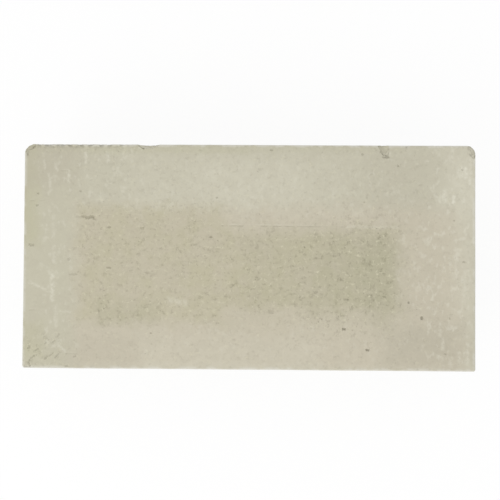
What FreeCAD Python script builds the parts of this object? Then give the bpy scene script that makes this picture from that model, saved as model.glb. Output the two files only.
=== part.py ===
"""Refractory firebrick: one dry-pressed, fired block of the nine-inch standard size, lying on its bed.

The frame has +X along the length, +Y from the front long side to the back, and +Z up. The origin is the
middle of the bed that the brick lies on. The upper bed is the face with the worn back corners and the
chipped back arris. All sizes are in millimetres.
"""

import FreeCAD, Part
import math
import os

import Sketcher

# The sheet's rows: the name of a size, its value, and what it measures.
SIZES = (
    ("brick_length", 229, "end face to end face"),
    ("brick_width", 114, "front long side to back long side"),
    ("brick_height", 64, "lower bed to upper bed"),
    ("arris_radius", 0.9, "rounding of every arris round the two beds"),
    ("back_left_wear", 4.3, "what handling adds to the arris radius on this upright edge"),
    ("back_right_wear", 3.4, "the same, back right"),
    ("front_left_wear", 0.7, "the same, front left"),
    ("front_right_wear", 0.2, "the same, front right"),
    ("spall_from_left", 64.2, "left end to the middle of the spall in the back arris"),
    ("spall_length", 12.4, "the spall along the arris"),
    ("spall_reach", 2.2, "the spall across the upper bed"),
    ("spall_drop", 5.4, "the spall down the back long side"),
    ("spall_skew", 7, "turn of the spall about the vertical, in degrees: its left flank is the steep one"),
    ("flake_from_right", 46.5, "right end to the middle of the shallow flake in the back arris"),
    ("flake_length", 5.6, "the flake along the arris"),
    ("flake_reach", 6.2, "the flake across the upper bed"),
    ("flake_drop", 1.4, "the flake down the back long side"),
    ("flake_skew", 11, "turn of the flake about the vertical, in degrees: its tip on the bed leans right"),
    ("right_chip_length", 4.4, "the back right corner's chip along the back arris, from the sharp corner"),
    ("right_chip_reach", 7.8, "the same chip along the right end"),
    ("right_chip_drop", 1.8, "the same chip down the upright edge"),
    ("left_chip_length", 5.8, "the back left corner's chip along the back arris, from the sharp corner"),
    ("left_chip_reach", 5, "the same chip along the left end"),
    ("left_chip_drop", 1.8, "the same chip down the upright edge"),
)
VALUE = {name: value for name, value, _ in SIZES}
UP = FreeCAD.Vector(0, 0, 1)
CUBIC_MM_PER_LITRE = 1_000_000
# Formulas for the sides that the chips are placed from.
LEFT_END, RIGHT_END, BACK = "- brick_length / 2", "brick_length / 2", "brick_width / 2"


def make_sheet(doc):
    """The spreadsheet that every feature reads its sizes from."""
    sheet = doc.addObject("Spreadsheet::Sheet", "sizes")
    for row, (name, value, meaning) in enumerate(SIZES, start=1):
        sheet.set(f"A{row}", name)
        sheet.set(f"B{row}", str(value))
        sheet.set(f"C{row}", meaning)
        sheet.setAlias(f"B{row}", name)
    doc.recompute()
    return sheet


def origin_plane(body, role):
    """One of the body's own origin planes."""
    return next(plane for plane in body.Origin.OriginFeatures if plane.Role == role)


def bind(feature, path, formula):
    """Ties a property to the sheet. Names of sizes in the formula stand for their cells."""
    words = [f"<<sizes>>.{word}" if word in VALUE else word for word in formula.split()]
    feature.setExpression(path, " ".join(words))


def plan_outline(body):
    """The plan: a rectangle about the origin whose four corners are rounded, each by its own radius."""
    sketch = body.newObject("Sketcher::SketchObject", "plan_outline")
    sketch.AttachmentSupport = [(origin_plane(body, "XY_Plane"), "")]
    sketch.MapMode = "FlatFace"

    half_length = VALUE["brick_length"] / 2
    half_width = VALUE["brick_width"] / 2
    # Sides run anticlockwise from the front one, and each corner is the one at its side's far end.
    corners = ("front_right", "back_right", "back_left", "front_left")
    signs = ((1, -1), (1, 1), (-1, 1), (-1, -1))
    radii = [VALUE["arris_radius"] + VALUE[f"{corner}_wear"] for corner in corners]
    quarter_turn = math.pi / 2

    arcs = []
    for turn, (radius, (sx, sy)) in enumerate(zip(radii, signs)):
        centre = FreeCAD.Vector(sx * (half_length - radius), sy * (half_width - radius), 0)
        circle = Part.Circle(centre, UP, radius)
        arcs.append(Part.ArcOfCircle(circle, (turn - 1) * quarter_turn, turn * quarter_turn))
    sides = [Part.LineSegment(arcs[i - 1].EndPoint, arcs[i].StartPoint) for i in range(len(arcs))]
    side_ids = [sketch.addGeometry(side, False) for side in sides]
    arc_ids = [sketch.addGeometry(arc, False) for arc in arcs]

    start_point, end_point, origin = 1, 2, (-1, 1)
    for i, side in enumerate(side_ids):
        sketch.addConstraint(Sketcher.Constraint("Vertical" if i % 2 else "Horizontal", side))
        sketch.addConstraint(Sketcher.Constraint("Tangent", arc_ids[i - 1], end_point, side, start_point))
        sketch.addConstraint(Sketcher.Constraint("Tangent", side, end_point, arc_ids[i], start_point))

    front, right, back, left = ((side, start_point) for side in side_ids)
    placed = (
        ("right_end", "DistanceX", origin, right, half_length, "brick_length / 2"),
        ("left_end", "DistanceX", left, origin, half_length, "brick_length / 2"),
        ("back_side", "DistanceY", origin, back, half_width, "brick_width / 2"),
        ("front_side", "DistanceY", front, origin, half_width, "brick_width / 2"),
    )
    for name, kind, first, second, value, formula in placed:
        index = sketch.addConstraint(Sketcher.Constraint(kind, *first, *second, value))
        sketch.renameConstraint(index, name)
        bind(sketch, f"Constraints.{name}", formula)
    for corner, arc, radius in zip(corners, arc_ids, radii):
        index = sketch.addConstraint(Sketcher.Constraint("Radius", arc, radius))
        sketch.renameConstraint(index, corner)
        bind(sketch, f"Constraints.{corner}", f"arris_radius + {corner}_wear")
    return sketch


def pressed_block(body, sketch):
    """The plan pressed up to the brick's height."""
    block = body.newObject("PartDesign::Pad", "pressed_block")
    block.Profile = sketch
    bind(block, "Length", "brick_height")
    return block


def rounded_arrises(body, block):
    """The slightly rounded edges round the lower and the upper bed."""
    beds = (block.Shape.BoundBox.ZMin, block.Shape.BoundBox.ZMax)
    touch = 1e-6
    names = []
    for number, edge in enumerate(block.Shape.Edges, start=1):
        box = edge.BoundBox
        if any(abs(box.ZMin - bed) < touch and abs(box.ZMax - bed) < touch for bed in beds):
            names.append(f"Edge{number}")
    fillet = body.newObject("PartDesign::Fillet", "rounded_arrises")
    fillet.Base = (block, names)
    bind(fillet, "Radius", "arris_radius")
    return fillet


def scoop(body, name, middle, half_sizes):
    """A fracture's hollow: an ellipsoid cut away, its middle and half sizes given as X, Y and Z formulas."""
    hollow = body.newObject("PartDesign::SubtractiveEllipsoid", name)
    hollow.AttachmentSupport = [(origin_plane(body, "XY_Plane"), "")]
    hollow.MapMode = "FlatFace"
    for axis, formula in zip("xyz", middle):
        bind(hollow, f"AttachmentOffset.Base.{axis}", formula)
    for radius, formula in zip(("Radius2", "Radius3", "Radius1"), half_sizes):
        bind(hollow, radius, formula)
    return hollow


def arris_chip(body, name, place):
    """A chip in the back arris, as long, as far across the bed and as far down the side as its sizes say.

    The ellipsoid stands off the sharp arris by one reach and one drop, so the hollow is shallow. The roots
    make it pass through the chip's four ends, which lie on the arris, the bed and the side. The skew then
    turns the chip about its middle on the arris.
    """
    middle = (f"{place} - {name}_reach * sin( {name}_skew )", f"{BACK} + {name}_reach * cos( {name}_skew )",
              f"brick_height + {name}_drop")
    half_sizes = (f"{name}_length / 2 * sqrt(5/3)", f"{name}_reach * sqrt(5)", f"{name}_drop * sqrt(5)")
    hollow = scoop(body, name, middle, half_sizes)
    turn = FreeCAD.Rotation(UP, VALUE[f"{name}_skew"])
    hollow.AttachmentOffset = FreeCAD.Placement(hollow.AttachmentOffset.Base, turn)
    bind(hollow, "AttachmentOffset.Rotation.Angle", f"{name}_skew")
    return hollow


def corner_chip(body, name, end, outwards):
    """A chip off a back corner of the upper bed, cut to its sizes along the three edges that meet there.

    The ellipsoid stands off the sharp corner by each size, and the roots make it pass through the three ends.
    """
    middle = (f"{end} {outwards} {name}_length", f"{BACK} + {name}_reach", f"brick_height + {name}_drop")
    half_sizes = [f"{name}_{size} * sqrt(6)" for size in ("length", "reach", "drop")]
    return scoop(body, name, middle, half_sizes)


def chips(body):
    """The damage along the back of the upper bed: a spall, a shallow flake and two knocked corners.

    They come one at a time, because a chip reads the shape that the one before it leaves.
    """
    yield arris_chip(body, "spall", f"{LEFT_END} + spall_from_left")
    yield arris_chip(body, "flake", f"{RIGHT_END} - flake_from_right")
    yield corner_chip(body, "right_chip", RIGHT_END, "+")
    yield corner_chip(body, "left_chip", LEFT_END, "-")


def firebrick(doc):
    """The whole brick, one solid."""
    body = doc.addObject("PartDesign::Body", "firebrick")
    body.Label = "firebrick"
    block = pressed_block(body, plan_outline(body))
    doc.recompute()
    before = rounded_arrises(body, block)
    doc.recompute()
    for after in chips(body):
        doc.recompute()
        taken = before.Shape.Volume - after.Shape.Volume
        print(f"{after.Name} takes {taken:.1f} mm3")
        if taken <= 0:
            raise RuntimeError(f"{after.Name} cuts nothing")
        before = after
    return body


def check(doc, parts):
    """Stops the build where a feature failed or a piece isn't one sound solid."""
    for item in doc.Objects:
        if "Invalid" in item.State or "Error" in item.State:
            raise RuntimeError(f"{item.Name} failed: {item.State}")
    for part in parts:
        if part.Shape.isNull() or not part.Shape.isValid() or len(part.Shape.Solids) != 1:
            raise RuntimeError(f"{part.Label} isn't one valid solid")


def main():
    doc = FreeCAD.newDocument("refractory_firebrick")
    make_sheet(doc)
    parts = [firebrick(doc)]
    doc.recompute()
    check(doc, parts)
    os.makedirs("parts", exist_ok=True)
    for part in parts:
        part.Shape.exportStep(f"parts/{part.Label}.step")
        box = part.Shape.optimalBoundingBox()
        litres = part.Shape.Volume / CUBIC_MM_PER_LITRE
        print(f"{part.Label}: {box.XLength:.2f} x {box.YLength:.2f} x {box.ZLength:.2f} mm, "
              f"{litres:.4f} litres, {len(part.Shape.Faces)} faces")


main()
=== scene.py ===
# %% [markdown]
# # A refractory firebrick, lying on its bed
#
# A firebrick is one block of fireclay, pressed dry in a steel mould and fired. Its shape is simple, so
# nearly all of its character is in the surface: a pale smooth skin, a rougher stained patch where heat
# reached it, open pores, rubbed streaks, and one edge that has been knocked about. This lesson makes the
# block first, then its damage, and then its finish, layer by layer.
#
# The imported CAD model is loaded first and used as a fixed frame. Everything here is in metres in that
# frame, with +X along the brick, +Y towards its chipped back edge and +Z up. Small sizes are written in
# millimetres.

import math
from collections import namedtuple

import bmesh
import bpy
from mathutils import Color, Matrix, Vector, noise


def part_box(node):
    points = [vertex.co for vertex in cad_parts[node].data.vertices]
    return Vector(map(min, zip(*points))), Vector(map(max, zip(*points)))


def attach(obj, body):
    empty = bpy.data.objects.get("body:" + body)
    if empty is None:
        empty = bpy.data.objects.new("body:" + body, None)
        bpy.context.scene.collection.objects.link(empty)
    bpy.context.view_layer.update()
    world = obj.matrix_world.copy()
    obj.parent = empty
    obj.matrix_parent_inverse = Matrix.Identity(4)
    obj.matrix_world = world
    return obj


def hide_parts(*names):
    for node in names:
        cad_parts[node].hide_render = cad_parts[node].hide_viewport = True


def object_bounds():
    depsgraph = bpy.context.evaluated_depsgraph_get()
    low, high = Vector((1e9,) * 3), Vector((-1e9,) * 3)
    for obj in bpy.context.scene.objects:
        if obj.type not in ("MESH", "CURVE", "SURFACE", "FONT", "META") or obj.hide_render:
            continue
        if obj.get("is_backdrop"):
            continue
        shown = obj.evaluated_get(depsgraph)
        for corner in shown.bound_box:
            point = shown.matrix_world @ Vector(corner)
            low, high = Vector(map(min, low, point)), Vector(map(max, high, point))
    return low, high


MM = 0.001

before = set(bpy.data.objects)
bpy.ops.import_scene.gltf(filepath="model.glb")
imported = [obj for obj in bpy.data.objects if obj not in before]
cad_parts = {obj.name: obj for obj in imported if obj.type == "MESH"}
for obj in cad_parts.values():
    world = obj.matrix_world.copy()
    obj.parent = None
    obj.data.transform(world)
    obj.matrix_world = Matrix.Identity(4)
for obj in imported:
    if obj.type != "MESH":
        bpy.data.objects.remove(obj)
cad_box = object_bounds()
low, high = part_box("firebrick")

# %% [markdown]
# ## The camera
#
# The brick is seen from straight above its upper bed, by a camera that is a degree or so out of square.
# A camera could be turned by hand until the outline fits. Here its lean and distance were worked out from
# the four corners of the outline, which a rectangle of the brick's real size has to meet. The matrix is
# read from right to left: step back from the bed, lean, then stand over the bed's middle.

# %% The camera
LENS = 70.0
CAMERA_LEAN = {"X": -1.548, "Y": -1.069, "Z": -0.351}
CAMERA_FROM_BED = Vector((0.81, 3.53, 491.5)) * MM

bed_middle = Vector(((low.x + high.x) / 2, (low.y + high.y) / 2, high.z))
lean = Matrix.Identity(4)
for axis, degrees in CAMERA_LEAN.items():
    lean = Matrix.Rotation(math.radians(degrees), 4, axis) @ lean

scene = bpy.context.scene
camera = bpy.data.objects.new("camera", bpy.data.cameras.new("camera"))
camera.data.lens = LENS
stand = Matrix.Translation(bed_middle) @ lean.inverted()
camera.matrix_world = stand @ Matrix.Translation(CAMERA_FROM_BED)
scene.collection.objects.link(camera)
scene.camera = camera
scene.view_settings.view_transform = "Standard"
print(f"camera: {CAMERA_FROM_BED.z:.3f} m above the bed, lens {LENS:.0f} mm")

# %% [markdown]
# ## Helpers for nodes
#
# Materials here are small programs made of nodes. A few helpers keep them readable: `new_material` starts
# one with no nodes in it, `put` adds a node and fills its inputs, `calc` is one step of arithmetic, and
# `mix` blends two colours. An input may be a number, a colour or the output of another node. Colours are
# written as they look on a screen, from 0 to 255, and `colour` turns them into the linear values that the
# renderer works in.

# %% Helpers for nodes
NODE_STEP = 190
SCREEN_WHITE = 255
# The numbers of the Mix node's sockets for colours.
MIX_FACTOR, MIX_FIRST, MIX_SECOND, MIX_RESULT = 0, 6, 7, 2


def new_material(name):
    """A material with no nodes yet. Returns it with its node tree."""
    material = bpy.data.materials.new(name)
    material.use_nodes = True
    material.node_tree.nodes.clear()
    return material, material.node_tree


def put(tree, kind, inputs=None, **settings):
    """Adds a node to the tree, with its settings and inputs."""
    made = tree.nodes.new(kind)
    made.location.x = NODE_STEP * len(tree.nodes)
    for name, value in settings.items():
        setattr(made, name, value)
    for name, value in (inputs or {}).items():
        if isinstance(value, bpy.types.NodeSocket):
            tree.links.new(value, made.inputs[name])
        else:
            made.inputs[name].default_value = value
    return made


def calc(tree, operation, *values):
    """One step of arithmetic on single values."""
    return put(tree, "ShaderNodeMath", dict(enumerate(values)), operation=operation).outputs[0]


def mix(tree, factor, first, second):
    """Blends two colours by a factor."""
    inputs = {MIX_FACTOR: factor, MIX_FIRST: first, MIX_SECOND: second}
    return put(tree, "ShaderNodeMix", inputs, data_type="RGBA").outputs[MIX_RESULT]


def colour(red, green, blue):
    """A colour written as it looks on a screen, as linear red, green, blue and alpha."""
    on_screen = Color([level / SCREEN_WHITE for level in (red, green, blue)])
    return (*on_screen.from_srgb_to_scene_linear(), 1.0)


print(f"colour: a grey of 128 on a screen is {colour(128, 128, 128)[0]:.3f} in linear light")

# %% [markdown]
# ## Soft light
#
# The brick lies in even, soft light with nothing bright on it. A uniform sky gives most of the light, and
# one large lamp at the front left gives enough direction to show a pore or a chip. Their shares add up to
# about one, so a colour on the bed renders about as it is written.
#
# The background is white. Turning up the light would wash out the brick, so instead the sky shows white to
# the camera alone: Light Path tells a ray from the camera from one that carries light.

# %% Soft light
WHITE = (1.0, 1.0, 1.0, 1.0)
SKY_SHARE = 0.89
LAMP_SHARE = 0.15
# Metres, and degrees from the front and from straight overhead.
LAMP_DISTANCE = 1.1
LAMP_SIZE = 0.7
LAMP_SIDE = -40.0
LAMP_FROM_ZENITH = 48.0


def seen_directly(tree):
    """1 for rays from the camera, or from a mirror or glass, and 0 for rays that carry light."""
    path = put(tree, "ShaderNodeLightPath")
    seen = calc(tree, "ADD", path.outputs["Is Camera Ray"], path.outputs["Is Glossy Ray"])
    seen = calc(tree, "ADD", seen, path.outputs["Is Transmission Ray"])
    return calc(tree, "MINIMUM", seen, 1.0)


def soft_sky():
    """A white sky that lights the brick by its share and shows as plain white."""
    world = bpy.data.worlds.new("soft_sky")
    world.use_nodes = True
    tree = world.node_tree
    tree.nodes.clear()
    extra = calc(tree, "MULTIPLY", seen_directly(tree), 1.0 - SKY_SHARE)
    strength = calc(tree, "ADD", extra, SKY_SHARE)
    background = put(tree, "ShaderNodeBackground", {"Color": WHITE, "Strength": strength})
    put(tree, "ShaderNodeOutputWorld", {"Surface": background.outputs[0]})
    return world


def soft_lamp():
    """A square lamp over the front left. Its power gives its share of light on a level surface."""
    side = math.radians(LAMP_SIDE)
    zenith = math.radians(LAMP_FROM_ZENITH)
    along = Vector((math.sin(side), -math.cos(side), 0))
    towards = along * math.sin(zenith) + Vector((0, 0, math.cos(zenith)))
    data = bpy.data.lights.new("soft_lamp", "AREA")
    data.size = LAMP_SIZE
    data.energy = LAMP_SHARE * math.pi ** 2 * LAMP_DISTANCE ** 2 / math.cos(zenith)
    lamp = bpy.data.objects.new("soft_lamp", data)
    lamp.location = bed_middle + towards * LAMP_DISTANCE
    lamp.rotation_euler = towards.to_track_quat("Z", "Y").to_euler()
    scene.collection.objects.link(lamp)
    return lamp


scene.world = soft_sky()
lamp = soft_lamp()
print(f"light: sky {SKY_SHARE}, lamp {LAMP_SHARE} of the bed's light from {lamp.data.energy:.2f} W")

# %% [markdown]
# ## A white floor
#
# The floor is one wide square just under the brick. It shows white to the camera in the same way as the
# sky, but not all of it does: a small share stays a plain matt surface, which keeps the brick's soft shadow.

# %% A white floor
FLOOR_SIZE = 8.0
FLOOR_DROP = 0.05 * MM
FLOOR_PALE = (0.97, 0.97, 0.97, 1.0)
FLOOR_WHITE_SHARE = 0.90


def floor_finish():
    """White to the camera, apart from a matt share that takes the brick's shadow."""
    material, tree = new_material("pale_floor")
    matt = put(tree, "ShaderNodeBsdfDiffuse", {"Color": FLOOR_PALE})
    white = put(tree, "ShaderNodeEmission", {"Color": WHITE, "Strength": 1.0})
    share = calc(tree, "MULTIPLY", seen_directly(tree), FLOOR_WHITE_SHARE)
    both = put(tree, "ShaderNodeMixShader", {0: share, 1: matt.outputs[0], 2: white.outputs[0]})
    put(tree, "ShaderNodeOutputMaterial", {"Surface": both.outputs[0]})
    return material


def pale_floor():
    """A wide floor just under the brick."""
    bm = bmesh.new()
    bmesh.ops.create_grid(bm, x_segments=1, y_segments=1, size=FLOOR_SIZE / 2)
    bmesh.ops.translate(bm, verts=bm.verts, vec=(0, 0, low.z - FLOOR_DROP))
    mesh = bpy.data.meshes.new("floor")
    bm.to_mesh(mesh)
    bm.free()
    mesh.materials.append(floor_finish())
    floor = bpy.data.objects.new("floor", mesh)
    scene.collection.objects.link(floor)
    floor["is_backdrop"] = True


pale_floor()
print(f"floor: {FLOOR_SIZE:.0f} m wide, and {1 - FLOOR_WHITE_SHARE:.0%} of it stays matt to the camera")

# %% [markdown]
# ## The pressed block
#
# The block starts as a cube of the CAD box's size. The mould gives every brick square upright edges, and
# handling has worn the two at the back: each upright edge gets a bevel of its own radius, and then all the
# edges round the two beds get one small bevel. Rounding first and cutting into a fine grid later keeps the
# round parts smooth.

# %% The pressed block
ARRIS_RADIUS = 0.9 * MM
# The upright edges, by the side along X and Y that each is on.
UPRIGHT_RADII = {
    (-1, 1): 5.2 * MM,
    (1, 1): 4.3 * MM,
    (-1, -1): 1.6 * MM,
    (1, -1): 1.1 * MM,
}
ARC_STEP = 0.8 * MM
ARRIS_SEGMENTS = 4
# Places closer than this, in metres, are the same.
TOUCH = 1e-7


def round_edges(bm, edges, radius, segments):
    """Rounds the edges by a bevel with a circular profile."""
    bmesh.ops.bevel(bm, geom=edges, offset=radius, offset_type="OFFSET", affect="EDGES",
                    segments=segments, profile=0.5, material=-1, clamp_overlap=False)


def pressed_block():
    """The block with its worn upright edges and small arrises."""
    bm = bmesh.new()
    middle = Matrix.Translation((low + high) / 2)
    bmesh.ops.create_cube(bm, size=1.0, matrix=middle @ Matrix.Diagonal((*(high - low), 1.0)))
    for (side_x, side_y), radius in UPRIGHT_RADII.items():
        corner = [vert for vert in bm.verts
                  if vert.co.x * side_x > high.x - TOUCH and vert.co.y * side_y > high.y - TOUCH]
        upright = [edge for edge in bm.edges if all(vert in corner for vert in edge.verts)]
        round_edges(bm, upright, radius, max(ARRIS_SEGMENTS, round(radius * math.pi / 2 / ARC_STEP)))
    arrises = [edge for edge in bm.edges if abs(edge.verts[0].co.z - edge.verts[1].co.z) < TOUCH]
    round_edges(bm, arrises, ARRIS_RADIUS, ARRIS_SEGMENTS)
    return bm


bm = pressed_block()
print(f"block: {len(bm.faces)} faces after rounding")

# %% [markdown]
# ## Cutting the block into a grid
#
# Relief needs vertices to move. Subdividing would leave the two beds as single large faces, because after
# the bevels they have many corners, so planes slice the mesh instead, like a wire through clay. The upper
# bed is the face that shows most and is sliced every millimetre. The sides and the lower bed are sliced
# every two.

# %% Cutting the block into a grid
BED_GRID = 1.0 * MM
SIDE_GRID = 2.0 * MM


def slice_faces(bm, faces, axis, step):
    """Slices faces by planes across an axis. After a cut only the faces beyond it are cut again."""
    direction = Vector([float(axis == i) for i in range(3)])
    first, last = low[axis], high[axis]
    count = round((last - first) / step)
    for number in range(1, count):
        place = first + (last - first) * number / count
        edges = dict.fromkeys(edge for face in faces for edge in face.edges)
        verts = dict.fromkeys(vert for face in faces for vert in face.verts)
        cut = bmesh.ops.bisect_plane(bm, geom=[*faces, *edges, *verts], dist=TOUCH,
                                     plane_co=direction * place, plane_no=direction)
        made = [item for item in cut["geom"] if isinstance(item, bmesh.types.BMFace)]
        faces = [face for face in made if max(vert.co[axis] for vert in face.verts) > place + TOUCH]


def on_upper_bed(face):
    """True for the upper bed and the rounding round it."""
    return face.calc_center_median().z > high.z - ARRIS_RADIUS


for axis in (0, 1):
    slice_faces(bm, [face for face in bm.faces if on_upper_bed(face)], axis, BED_GRID)
for axis in (0, 1, 2):
    slice_faces(bm, [face for face in bm.faces if not on_upper_bed(face)], axis, SIDE_GRID)
print(f"grid: {len(bm.faces)} faces after slicing")

# %% [markdown]
# ## Chips along the back edge: where they are
#
# Real damage isn't spread evenly. The back edge of this brick has one spall, one shallow flake and two
# knocked corners. A ball sunk into the edge would leave a deep round bite, so each chip is the hollow of an
# ellipsoid that stands off the sharp edge, as in the CAD model. Its sizes in millimetres say how long the
# chip is, how far it goes across the bed and how far down the side. A fresh break is pale, and an old one
# has painted shade under its rim, where its face turns away from the lamp.

# %% Chips along the back edge: where they are
LEFT, RIGHT, BACK, TOP = low.x / MM, high.x / MM, high.y / MM, high.z / MM

Chip = namedtuple("Chip", "middle half turn fresh rim_soil")


def arris_chip(place, length, reach, drop, skew, fresh, rim_soil):
    """A chip in the back arris, as long, as far across the bed and as far down the side as its sizes say."""
    # An ellipsoid of these half sizes, stood off by its reach and drop, meets the faces at its sizes.
    half = Vector((length / 2 * math.sqrt(5 / 3), reach * math.sqrt(5), drop * math.sqrt(5)))
    turn = Matrix.Rotation(math.radians(skew), 3, "Z")
    middle = Vector((place, BACK, TOP)) + turn @ Vector((0, reach, drop))
    return Chip(middle, half, turn.inverted(), fresh, rim_soil)


def corner_chip(end, length, reach, drop, fresh, rim_soil):
    """A chip off a back corner of the upper bed, cut to its sizes along the three edges that meet there."""
    # The same for a middle that stands off along all three edges.
    half = Vector((length, reach, drop)) * math.sqrt(6)
    middle = Vector((end + math.copysign(length, end), BACK + reach, TOP + drop))
    return Chip(middle, half, Matrix.Identity(3), fresh, rim_soil)


# The last number of each chip is how dark the painted shade under its rim is.
CHIPS = {
    "spall": arris_chip(LEFT + 64.2, length=12.4, reach=2.2, drop=5.4, skew=7, fresh=1.0, rim_soil=0.0),
    "flake": arris_chip(RIGHT - 46.5, length=5.6, reach=6.2, drop=1.4, skew=11, fresh=0.0, rim_soil=0.54),
    "right_corner": corner_chip(RIGHT, length=4.4, reach=7.8, drop=1.8, fresh=0.35, rim_soil=0.44),
    "left_corner": corner_chip(LEFT, length=5.8, reach=5.0, drop=1.8, fresh=0.0, rim_soil=0.22),
}
print("chips:", ", ".join(CHIPS))

# %% [markdown]
# ## Pores, gouges and scuffs: where they are
#
# The upper bed has a scatter of open pores, a gouge near its left end and scuffs at its front left corner.
# Dark dots in the material would do from above, but from the side they would look printed, so each of these
# is a trough along a short line. Places and sizes are in millimetres, from the bed's middle.

# %% Pores, gouges and scuffs: where they are
# Each pore or gouge: the two ends of its line along X and Y, its half width, its depth and its darkening,
# partly dirt and partly painted shade.
PORES = (
    (48.1, -36.1, 48.7, -36.1, 0.7, 0.5, 0.44),
    (59.9, -46.5, 60.5, -46.5, 0.7, 0.5, 0.46),
    (87.5, -30.0, 87.5, -30.5, 0.8, 0.5, 0.42),
    (81.0, -22.3, 81.0, -22.6, 0.6, 0.5, 0.36),
    (33.9, -17.6, 34.6, -17.4, 0.8, 0.3, 0.20),
    (11.0, -27.3, 12.0, -27.6, 1.2, 0.3, 0.16),
    (34.1, -0.4, 34.3, -0.4, 0.7, 0.3, 0.20),
    (-19.3, 10.0, -18.9, 10.0, 0.6, 0.4, 0.28),
    (-16.2, 30.0, -16.0, 30.0, 0.5, 0.3, 0.24),
    (58.4, 28.1, 58.5, 28.1, 0.5, 0.3, 0.22),
    (75.3, 46.5, 75.4, 46.5, 0.5, 0.3, 0.24),
    (103.6, 19.0, 103.7, 19.0, 0.5, 0.3, 0.24),
    (108.2, -1.9, 109.0, -1.9, 0.5, 0.3, 0.20),
    (-71.4, 14.7, -70.2, 14.7, 0.5, 0.3, 0.26),
    (-54.7, 14.4, -53.3, 14.2, 0.6, 0.3, 0.16),
    (-71.6, -5.8, -70.0, -5.8, 0.5, 0.3, 0.24),
    (-91.0, -1.6, -90.8, -1.4, 0.8, 0.3, 0.14),
    (-110.6, 5.2, -109.3, 5.5, 0.6, 0.3, 0.20),
    (-49.1, -38.8, -49.0, -38.8, 0.5, 0.3, 0.22),
    (48.5, -21.0, 50.2, -21.1, 0.6, 0.3, 0.18),
    (46.7, -10.6, 46.7, -11.2, 0.6, 0.3, 0.18),
    (68.3, -19.6, 69.1, -19.6, 0.6, 0.3, 0.20),
    (11.0, 54.3, 11.6, 54.3, 0.6, 0.3, 0.22),
    (99.3, -48.2, 99.5, -48.2, 0.5, 0.3, 0.18),
    (-87.4, 20.0, -84.2, 20.0, 0.6, 0.2, 0.10),
    (-84.4, 20.1, -82.9, 20.2, 0.7, 0.3, 0.20),
    (-82.3, 19.6, -81.2, 19.5, 0.9, 0.4, 0.23),
    (-80.6, 20.0, -79.0, 19.9, 0.8, 0.4, 0.23),
    (-78.8, 19.9, -78.4, 18.9, 0.5, 0.3, 0.20),
    (-90.6, -9.4, -87.2, -9.2, 0.6, 0.2, 0.14),
    # This trough at the spall's left end is darkened as painted shade on the spall's steep flank.
    (-55.6, 56.2, -53.7, 54.9, 0.5, 0.5, 0.46),
    (-111.6, 54.4, -109.2, 55.6, 0.7, 0.4, 0.30),
    (-112.8, 52.1, -112.7, 51.5, 0.6, 0.3, 0.28),
    (-111.2, 5.9, -111.0, 6.0, 0.6, 0.3, 0.16),
    (-110.7, -54.4, -110.5, -54.9, 0.5, 0.3, 0.24),
    (-110.2, -55.7, -110.5, -56.2, 0.5, 0.3, 0.24),
    (-112.8, -56.1, -111.9, -56.2, 0.5, 0.3, 0.20),
    (107.7, 44.7, 107.9, 44.6, 0.6, 0.3, 0.24),
    (-107.3, 31.8, -107.1, 31.8, 0.6, 0.3, 0.18),
    (-107.8, 25.5, -107.3, 25.6, 0.6, 0.3, 0.20),
    (-85.6, 33.0, -85.4, 33.0, 0.5, 0.3, 0.18),
    (101.6, -30.1, 101.6, -30.4, 0.6, 0.3, 0.14),
    # These three troughs round the flake's left and lower borders are darkened as painted shade.
    (67.7, 50.9, 70.6, 50.9, 0.6, 0.3, 0.28),
    (67.2, 54.6, 67.6, 53.6, 0.5, 0.3, 0.30),
    (70.3, 53.2, 70.4, 51.7, 0.4, 0.2, 0.16),
    (57.3, 52.3, 57.5, 52.3, 0.6, 0.3, 0.22),
    (79.5, 56.1, 79.7, 56.1, 0.5, 0.3, 0.22),
)
# Scuffs at the front left corner, which all run the same way: the two ends of each.
SCUFFS = (
    (-109.9, -51.9, -108.2, -50.7),
    (-111.2, -54.0, -110.4, -52.7),
    (-107.7, -48.1, -106.2, -47.1),
    (-111.3, -46.9, -110.3, -46.1),
    (-102.9, -44.6, -102.1, -43.8),
    (-100.3, -50.6, -98.5, -49.1),
    (-97.5, -51.6, -96.0, -49.8),
    (-102.8, -52.1, -101.3, -50.9),
    (-98.8, -43.8, -97.8, -43.0),
    (-92.3, -55.8, -91.3, -55.5),
    (-88.1, -51.0, -87.1, -50.6),
)
SCUFF_HALF_WIDTH, SCUFF_DEPTH, SCUFF_SOIL_AND_SHADE = 0.45, 0.2, 0.2
HOLLOWS = [*PORES, *((*line, SCUFF_HALF_WIDTH, SCUFF_DEPTH, SCUFF_SOIL_AND_SHADE) for line in SCUFFS)]
print(f"hollows: {len(PORES)} pores and gouges, {len(SCUFFS)} scuffs")

# %% [markdown]
# ## A finer grid where the damage is
#
# A pore is only a millimetre or two across, so the grid round each one is halved twice. The back edge,
# which has crumbled, is halved once all along, and once more at the chips. Halving only where it is needed
# keeps the mesh small enough to use anywhere.

# %% A finer grid where the damage is
BACK_BAND = 6.0
BACK_BAND_DROP = 7.0
HOLLOW_MARGINS = (1.6, 0.7)
CHIP_MARGIN = 1.12


def from_line(spot, from_x, from_y, to_x, to_y):
    """The distance in plan from a place to a line between two points."""
    start = Vector((from_x, from_y))
    line = Vector((to_x, to_y)) - start
    reach = spot.xy - start
    along = min(1.0, max(0.0, reach.dot(line) / line.length_squared))
    return (reach - line * along).length


def near_hollow(spot, margin):
    """True for a place on the upper bed in a hollow or within the margin round it."""
    if spot.z < TOP - ARRIS_RADIUS / MM:
        return False
    return any(from_line(spot, *line) < half_width + margin
               for *line, half_width, depth, darkness in HOLLOWS)


def in_back_band(spot):
    """True along the back arris of the upper bed."""
    return spot.y > BACK - BACK_BAND and spot.z > TOP - BACK_BAND_DROP


def chip_share(spot, chip):
    """How far a place is from the middle of a chip's ellipsoid: under 1 inside it."""
    away = chip.turn @ (spot - chip.middle)
    return Vector([part / half for part, half in zip(away, chip.half)]).length


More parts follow.
